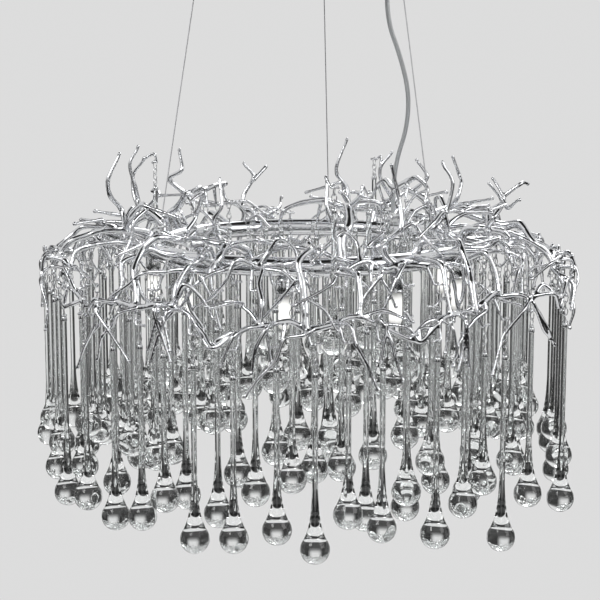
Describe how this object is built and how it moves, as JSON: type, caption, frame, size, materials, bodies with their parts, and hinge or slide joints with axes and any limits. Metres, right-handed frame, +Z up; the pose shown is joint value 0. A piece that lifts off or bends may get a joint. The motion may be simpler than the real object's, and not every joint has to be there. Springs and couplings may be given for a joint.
{
  "type": "crystal chandelier",
  "caption": "Pendant chandelier: a ring on steel wires carries cast twig sprays, lamps and rows of solid glass drops that swing on wire bails.",
  "frame": {"origin": "middle of the ceiling bracket's top face, on the ceiling", "axes": "+Z up into the ceiling, -Y towards the viewer, +X to the viewer's right"},
  "size_m": [0.6294, 0.629, 0.628],
  "materials": {
    "cast_twig": "plated, slightly uneven casting",
    "drop_glass": "clear polished glass",
    "steel_wire": "stranded wire",
    "turned_fitting": "bright turned metal",
    "ring_chrome": "polished tube",
    "clear_jacket": "clear jacket over silver braid",
    "gland_plastic": "clear moulding",
    "lamp_holder": "plated cup",
    "lamp_glass": "frosted capsule, lit",
    "canopy_chrome": "polished cover",
    "bracket_steel": "zinc plate",
    "terminal_plastic": "moulded"
  },
  "bodies": {
    "frame": {"ceiling_bracket": "bracket_steel", "canopy_cover": "canopy_chrome", "canopy_nuts": "turned_fitting", "terminal_block": "terminal_plastic", "suspension_wire_1": "steel_wire", "suspension_wire_2": "steel_wire", "suspension_wire_3": "steel_wire", "gripper_bodies": "turned_fitting", "wire_nipples": "turned_fitting", "ring_tube": "ring_chrome", "power_cable": "clear_jacket", "canopy_gland": "gland_plastic", "ring_gland": "gland_plastic", "lamp_holders": "lamp_holder", "lamp_capsules": "lamp_glass", "branch_spray_01": "cast_twig", "branch_spray_02": "cast_twig", "branch_spray_03": "cast_twig", "branch_spray_04": "cast_twig", "branch_spray_05": "cast_twig", "branch_spray_06": "cast_twig", "branch_spray_07": "cast_twig", "branch_spray_08": "cast_twig", "branch_spray_09": "cast_twig", "branch_spray_10": "cast_twig", "branch_spray_11": "cast_twig", "branch_spray_12": "cast_twig", "branch_spray_13": "cast_twig", "branch_spray_14": "cast_twig", "branch_spray_15": "cast_twig", "branch_spray_16": "cast_twig", "branch_spray_17": "cast_twig"},
    "drops_01": {"drop_row_01": "drop_glass"},
    "drops_02": {"drop_row_02": "drop_glass"},
    "drops_03": {"drop_row_03": "drop_glass"},
    "drops_04": {"drop_row_04": "drop_glass"},
    "drops_05": {"drop_row_05": "drop_glass"},
    "drops_06": {"drop_row_06": "drop_glass"},
    "drops_07": {"drop_row_07": "drop_glass"},
    "drops_08": {"drop_row_08": "drop_glass"},
    "drops_09": {"drop_row_09": "drop_glass"},
    "drops_10": {"drop_row_10": "drop_glass"},
    "drops_11": {"drop_row_11": "drop_glass"},
    "drops_12": {"drop_row_12": "drop_glass"},
    "drops_13": {"drop_row_13": "drop_glass"},
    "drops_14": {"drop_row_14": "drop_glass"},
    "drops_15": {"drop_row_15": "drop_glass"},
    "drops_16": {"drop_row_16": "drop_glass"},
    "drops_17": {"drop_row_17": "drop_glass"},
    "collar_1": {"release_collar_1": "turned_fitting"},
    "collar_2": {"release_collar_2": "turned_fitting"},
    "collar_3": {"release_collar_3": "turned_fitting"}
  },
  "joints": [
    {"name": "drops_01_swing", "type": "hinge", "parent": "frame", "child": "drops_01", "pos_m": [0, -0.288, -0.39], "axis": [-0.9937, -0.1044, -0.04], "range_deg": [-1.5, 1.5]},
    {"name": "drops_02_swing", "type": "hinge", "parent": "frame", "child": "drops_02", "pos_m": [0.18512, -0.22062, -0.382], "axis": [-0.6934, -0.718, -0.0599], "range_deg": [-1.4, 1.4]},
    {"name": "drops_03_swing", "type": "hinge", "parent": "frame", "child": "drops_03", "pos_m": [0.28363, -0.05001, -0.362], "axis": [-0.087, -0.995, -0.0499], "range_deg": [-2.5, 2.5]},
    {"name": "drops_04_swing", "type": "hinge", "parent": "frame", "child": "drops_04", "pos_m": [0.24941, 0.144, -0.36], "axis": [0.5873, -0.8084, 0.04], "range_deg": [-1.1, 1.1]},
    {"name": "drops_05_swing", "type": "hinge", "parent": "frame", "child": "drops_05", "pos_m": [0.0985, 0.27063, -0.372], "axis": [0.9732, -0.2247, -0.0499], "range_deg": [-2.5, 2.5]},
    {"name": "drops_06_swing", "type": "hinge", "parent": "frame", "child": "drops_06", "pos_m": [-0.0985, 0.27063, -0.37], "axis": [0.8977, 0.4378, 0.0499], "range_deg": [-2.5, 2.5]},
    {"name": "drops_07_swing", "type": "hinge", "parent": "frame", "child": "drops_07", "pos_m": [-0.24941, 0.144, -0.364], "axis": [0.4223, 0.9056, -0.04], "range_deg": [-1.5, 1.5]},
    {"name": "drops_08_swing", "type": "hinge", "parent": "frame", "child": "drops_08", "pos_m": [-0.28363, -0.05001, -0.356], "axis": [-0.2753, 0.9601, 0.0499], "range_deg": [-2.3, 2.3]},
    {"name": "drops_09_swing", "type": "hinge", "parent": "frame", "child": "drops_09", "pos_m": [-0.18512, -0.22062, -0.38], "axis": [-0.8284, 0.5587, 0.04], "range_deg": [-1.7, 1.7]},
    {"name": "drops_10_swing", "type": "hinge", "parent": "frame", "child": "drops_10", "pos_m": [-0.08311, -0.22834, -0.346], "axis": [-0.9324, 0.3579, -0.0499], "range_deg": [-1.6, 1.6]},
    {"name": "drops_11_swing", "type": "hinge", "parent": "frame", "child": "drops_11", "pos_m": [0.09884, -0.22199, -0.342], "axis": [-0.9056, -0.4223, 0.04], "range_deg": [-1.3, 1.3]},
    {"name": "drops_12_swing", "type": "hinge", "parent": "frame", "child": "drops_12", "pos_m": [0.23359, -0.06698, -0.338], "axis": [-0.1906, -0.9804, -0.0499], "range_deg": [-1.4, 1.4]},
    {"name": "drops_13_swing", "type": "hinge", "parent": "frame", "child": "drops_13", "pos_m": [0.11408, 0.21456, -0.334], "axis": [0.9264, -0.3743, -0.04], "range_deg": [-1.1, 1.1]},
    {"name": "drops_14_swing", "type": "hinge", "parent": "frame", "child": "drops_14", "pos_m": [-0.23359, 0.06698, -0.34], "axis": [0.1735, 0.984, -0.04], "range_deg": [-1.5, 1.5]},
    {"name": "drops_15_swing", "type": "hinge", "parent": "frame", "child": "drops_15", "pos_m": [0.02453, -0.11542, -0.29], "axis": [-0.9605, -0.2754, -0.04], "range_deg": [-2.5, 2.5]},
    {"name": "drops_16_swing", "type": "hinge", "parent": "frame", "child": "drops_16", "pos_m": [0.10606, 0.05173, -0.284], "axis": [0.4996, -0.8653, 0.04], "range_deg": [-2.5, 2.5]},
    {"name": "drops_17_swing", "type": "hinge", "parent": "frame", "child": "drops_17", "pos_m": [-0.11088, 0.04036, -0.288], "axis": [0.2754, 0.9605, -0.04], "range_deg": [-2.5, 2.5]},
    {"name": "collar_1_press", "type": "slide", "parent": "frame", "child": "collar_1", "axis": [0.0262, 0.1619, -0.9865], "range_m": [0, 0.002], "stiffness_N_per_m": 600, "springref_m": -0.001},
    {"name": "collar_2_press", "type": "slide", "parent": "frame", "child": "collar_2", "axis": [-0.1534, -0.0583, -0.9865], "range_m": [0, 0.002], "stiffness_N_per_m": 600, "springref_m": -0.001},
    {"name": "collar_3_press", "type": "slide", "parent": "frame", "child": "collar_3", "axis": [0.1271, -0.1037, -0.9865], "range_m": [0, 0.002], "stiffness_N_per_m": 600, "springref_m": -0.001}
  ]
}
